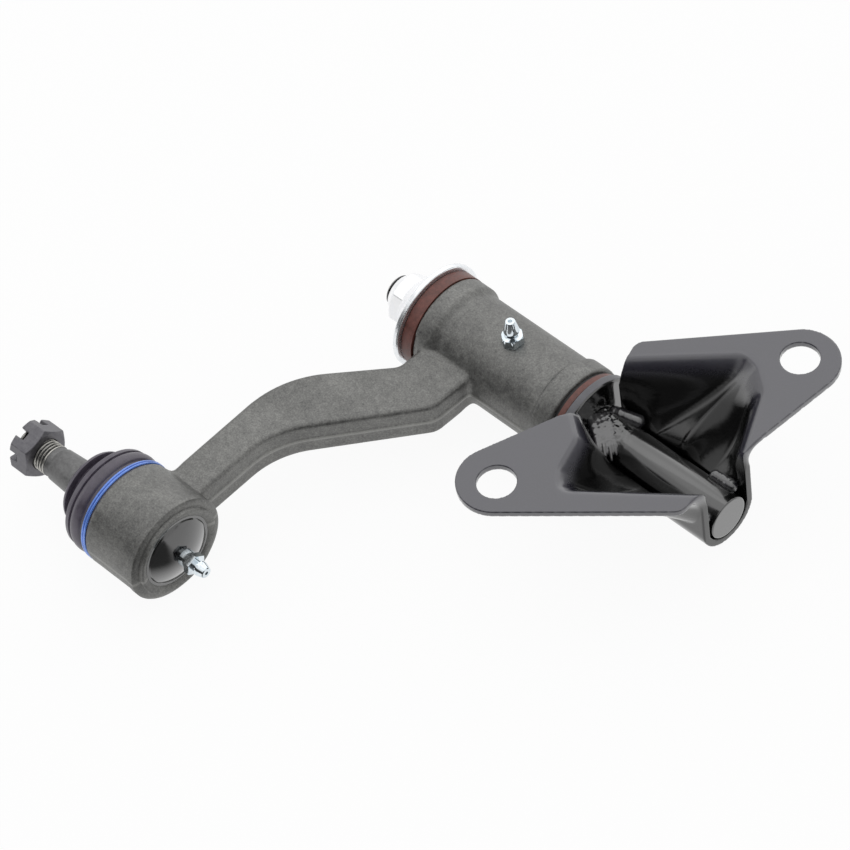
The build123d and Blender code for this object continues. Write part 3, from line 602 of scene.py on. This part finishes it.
# Ball stud with its cut thread, leaning as the CAD stud does
lean = Vector((1, 0, 0)).rotation_difference(STUD_LINE).to_matrix().to_4x4()
lean = Matrix.Translation(BALL * MM) @ lean @ Matrix.Translation(-BALL * MM)
rows = [(-132.9 + 12.1, 0, 0)]
for t in range(6, 33):
    rows.append((-132.9 + 13.5 * math.cos(t / 40 * math.pi), 13.5 * math.sin(t / 40 * math.pi), 0))
rows += [(-144.56, 6.8, 0), (-152.1, 6.8, 0), (-166.5, 8.66, 0), (-187.2, 7.37, 0)]
rows += [(-187.5, 7.2, 0), (-187.5, 6.65, 0), (-190.1, 6.65, 0), (-190.3, 7.0, 0)]
x = -190.4
while x > -205.9:
    rows.append((x, 7.0, 0))
    x -= 0.14
rows += [(-206.0, 7.0, 0), (-207.2, 5.8, 0), (-207.2, 0, 0)]
stud = turned("threaded_stud", rows, BALL, 96, radius=thread(-190.2, -206.6, 1.5, 0.85))
cut_mesh = bpy.data.meshes.new("cotter_cut")
bm = bmesh.new()
bmesh.ops.create_cone(bm, cap_ends=True, segments=32, radius1=1.6 * MM, radius2=1.6 * MM, depth=20 * MM)
bmesh.ops.translate(bm, verts=bm.verts, vec=Vector((-204.2, BALL.y, BALL.z)) * MM)
bm.to_mesh(cut_mesh)
bm.free()
cutter = new_piece("cotter_cut", cut_mesh)
cut = stud.modifiers.new("cotter", "BOOLEAN")
cut.operation = "DIFFERENCE"
cut.object = cutter
evaluated(stud)
bpy.data.objects.remove(cutter)
stud.data.transform(lean)
finish_with(stud, "stud_steel", "thread_crest", "thread_root")
for face in stud.data.polygons:
    p = face.center / MM - BALL
    off = p - STUD_LINE * p.dot(STUD_LINE)
    if p.x < -57.5:
        face.material_index = 1 if off.length > 6.62 else 2
shade(stud, 60)
placed(stud, "stud", "stud_steel", "ball_stud")

# Slotted nut and lock nut with the soft edges of real ones
slotted = fine_copy("slotted_nut", "castle_nut", 0.3, 2)
shade(slotted, 60)
finish_with(slotted, "nut_steel")
placed(slotted, "stud", "stud_steel", "castle_nut")
locking = fine_copy("crimped_nut", "lock_nut", 0.4, 2)
shade(locking, 60)
finish_with(locking, "nut_zinc")
placed(locking, "bracket", "zinc_plate", "lock_nut")

# Dust boot: bead in its groove, bulge, crease, rim, throat and lip. The rows give the bead, its groove, the
# crease, the throat and the lip a near-black finish, painted shade, and the rim a light one, a painted
# highlight; the fault noted at finish_with sets these numbers back to 0
rows = [(-147.15, 21.23, 2), (-147.15, 22.7, 2), (-147.5, 22.75, 2)]
rows += [(-147.6, 21.9, 2), (-151.9, 21.9, 2), (-152.2, 22.2, 0)]
rows += [(x, r, 0) for x, r in arc((-152.4, 22.55), (-155.0, 23.4), (-157.5, 22.5), 14)]
rows += [(-157.55, 22.3, 2), (-157.7, 21.95, 2), (-157.9, 22.3, 1)]
rows += [(-158.1, 22.85, 1), (-159.6, 22.7, 1), (-160.3, 22.35, 1)]
rows += [(-160.6, 21.6, 0), (-161.3, 19.6, 0), (-162.0, 17.2, 2), (-162.4, 14.6, 2)]
rows += [(-162.9, 14.0, 2), (-166.6, 14.0, 2), (-166.9, 14.6, 2)]
rows += [(-166.9, 16.2, 2), (-167.2, 16.75, 2), (-167.9, 16.7, 2)]
rows += [(-168.9, 16.0, 2), (-169.2, 15.4, 2), (-169.2, 9.8, 2)]
rows += [(-161.1, 9.8, 2), (-161.1, 15.5, 0), (-159.0, 19.9, 0)]
rows += [(x, r, 0) for x, r in arc((-159.0, 20.0), (-154.6, 21.9), (-152.4, 21.25), 8)]
rows += [(-152.4, 21.23, 0)]
boot = turned("rubber_boot", rows, BALL, 128, closed=True)
shade(boot, 38)
finish_with(boot, "boot_rubber", "boot_rim_painted_highlight", "boot_painted_shade")
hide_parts("dust_boot")
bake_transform(boot)

# Clamp ring: two turns of thin wire side by side in the boot's groove
for k, x in enumerate((-148.15, -149.35)):
    turns = [t / 6 * math.pi for t in range(12)]
    rows = [(x + 0.56 * math.cos(a), 22.95 + 0.56 * math.sin(a), 0) for a in turns]
    wire = turned(f"clamp_turn_{k + 1}", rows, BALL, 160, closed=True)
    shade(wire, 80)
    finish_with(wire, "blue_ring")
    placed(wire, "boot", "blue_ring", "boot_ring")

# Barrel's grease fitting: hexagon on the barrel, neck, head and its greasing hole
hexed = {-10.9, -10.4, -7.1, -6.7}


def fitting_radius(x, turn, r):
    if x not in hexed:
        return r
    side = (turn * 360 + 8) % 60 - 30
    return min(r, 4.25 / math.cos(math.radians(side)))


rows = [(-12.0, 3.7, 0), (-10.9, 4.6, 0), (-10.4, 4.9, 0), (-7.1, 4.9, 0), (-6.7, 4.4, 0), (-6.6, 3.4, 0)]
rows += [(-6.2, 2.6, 0), (-5.0, 2.5, 0), (-4.6, 2.7, 0), (-3.9, 3.3, 0), (-3.2, 3.3, 0), (-2.6, 3.05, 0)]
rows += [(1.6, 2.2, 0), (2.0, 1.9, 0), (2.05, 0.9, 0), (1.0, 0.8, 0), (1.0, 0, 0)]
fitting = turned("greasing_nipple", rows, Vector((0, 0, 0)), 96, radius=fitting_radius)
upright = Matrix.Rotation(math.radians(-90), 4, "Y")
fitting.data.transform(Matrix.Translation(Vector((-75.4, 0, 0)) * MM) @ upright)
shade(fitting, 32)
finish_with(fitting, "fitting_zinc")
placed(fitting, "arm", "zinc_plate", "barrel_grease_fitting")

# Camera at the photograph's place
camera_data = bpy.data.cameras.new("camera")
camera_data.sensor_width = 36
camera_data.lens = 156.186
camera_data.clip_end = 50
camera = bpy.data.objects.new("camera", camera_data)
right = Vector((0.709563, 0.695827, -0.111112))
down = Vector((0.505657, -0.612638, -0.607442))
ahead = Vector((-0.490746, 0.374834, -0.786555))
turn = Matrix((right, -down, -ahead)).transposed().to_4x4()
camera.matrix_world = Matrix.Translation(Vector((647.661, -603.946, 1144.504)) * MM) @ turn
bpy.context.scene.collection.objects.link(camera)
bpy.context.scene.camera = camera

# Floor: pale paper that keeps a faint shadow, white to the camera, with a painted shadow towards the front that
# only reflections show
floor_mesh = bpy.data.meshes.new("floor")
bm = bmesh.new()
bmesh.ops.create_grid(bm, x_segments=2, y_segments=2, size=4)
bm.to_mesh(floor_mesh)
bm.free()
floor = new_piece("floor", floor_mesh)
floor.location.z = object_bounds()[0][2] - 0.0005
paper = Build("floor_paper")
paper.set(Base_Color=(0.85, 0.85, 0.85, 1), Roughness=0.9, Specular_IOR_Level=0.1)
paths = paper.tree.nodes.new("ShaderNodeLightPath").outputs
glow = paper.tree.nodes.new("ShaderNodeEmission")
glow.inputs["Color"].default_value = (1, 1, 1, 1)
place_x, place_y, _ = paper.separate(paper.coords)
# Painted shadow: reflections see the floor darker in a patch towards the front
beyond_x = paper.range(place_x, -0.11, -0.08)
beyond_y = paper.range(place_y, -0.165, -0.14, 1.0, 0.0)
painted_front_shadow = paper.math("MULTIPLY", beyond_x, beyond_y)
seen = paper.math("MAXIMUM", paths["Is Glossy Ray"], paths["Is Transmission Ray"])
seen = paper.math("MAXIMUM", seen, paths["Is Camera Ray"])
blend = paper.tree.nodes.new("ShaderNodeMixShader")
paper.link(paper.math("MULTIPLY", seen, 0.93), blend.inputs[0])
paper.link(paper.shader.outputs[0], blend.inputs[1])
paper.link(glow.outputs[0], blend.inputs[2])
shown = paper.math("MULTIPLY", paths["Is Glossy Ray"], paper.math("MULTIPLY", painted_front_shadow, 0.93))
paper.link(paper.math("SUBTRACT", 1.0, shown), glow.inputs["Strength"])
paper.link(blend.outputs[0], paper.out.inputs[0])
floor_mesh.materials.append(paper.material)

# World: even and pale, with the dark side of a studio in reflections
world = bpy.data.worlds.new("studio")
world.use_nodes = True
bpy.context.scene.world = world
tree = world.node_tree


def world_math(kind, a, b=None):
    node = tree.nodes.new("ShaderNodeMath")
    node.operation = kind
    for slot, value in zip(node.inputs, (a, b)):
        if isinstance(value, (int, float)):
            slot.default_value = value
        elif value is not None:
            tree.links.new(value, slot)
    return node.outputs[0]


def world_range(value, low, high, low_out=0.0, high_out=1.0):
    node = tree.nodes.new("ShaderNodeMapRange")
    node.interpolation_type = "SMOOTHSTEP"
    for key, number in (("From Min", low), ("From Max", high), ("To Min", low_out), ("To Max", high_out)):
        node.inputs[key].default_value = number
    tree.links.new(value, node.inputs["Value"])
    return node.outputs[0]


direction = tree.nodes.new("ShaderNodeTexCoord").outputs["Generated"]
axes = tree.nodes.new("ShaderNodeSeparateXYZ")
tree.links.new(direction, axes.inputs[0])
dx, dy, dz = axes.outputs
front = world_math("ADD", world_math("MULTIPLY", dx, 0.3), world_math("MULTIPLY", dy, -0.954))
dark = world_math("MULTIPLY", world_range(front, 0.25, 0.5), world_range(dz, 0.56, 0.71, 1.0, 0.0))
bright = world_math("ADD", world_range(dy, 0.5, 0.85, 0.0, 0.45), world_range(dz, 0.82, 0.95, 0.88, 1.15))
corner = world_math("ADD", world_math("MULTIPLY", dx, 0.62), world_math("MULTIPLY", dy, 0.78))
corner_dark = world_math("MULTIPLY", world_range(corner, 0.84, 0.95), world_range(dz, 0.25, 0.42, 0.8, 0.0))
mirrored = world_math("MULTIPLY", bright, world_math("SUBTRACT", 1.0, world_math("MULTIPLY", dark, 0.95)))
mirrored = world_math("MULTIPLY", mirrored, world_math("SUBTRACT", 1.0, corner_dark))
glossy = tree.nodes.new("ShaderNodeLightPath").outputs["Is Glossy Ray"]
even = world_math("MULTIPLY", world_math("SUBTRACT", 1.0, glossy), 0.85)
background = tree.nodes["Background"]
background.inputs[0].default_value = (1, 1, 1, 1)
tree.links.new(world_math("ADD", even, world_math("MULTIPLY", mirrored, glossy)), background.inputs[1])


def lamp(name, place, size, glow):
    """A square lamp that faces the object, glow being how bright it looks."""
    data = bpy.data.lights.new(name, "AREA")
    data.shape = "SQUARE"
    data.size = size
    data.energy = glow * math.pi * size**2
    data.specular_factor = 0.15
    obj = bpy.data.objects.new(name, data)
    obj.location = place
    aim = Vector((-0.05, -0.05, 0)) - Vector(place)
    obj.rotation_euler = aim.to_track_quat("-Z", "Y").to_euler()
    bpy.context.scene.collection.objects.link(obj)


lamp("roof", (-1.0, 0.75, 1.6), 2.2, 0.4)
lamp("side", (-1.5, -1.1, 0.8), 1.0, 0.5)

bpy.context.scene.view_settings.view_transform = "Standard"
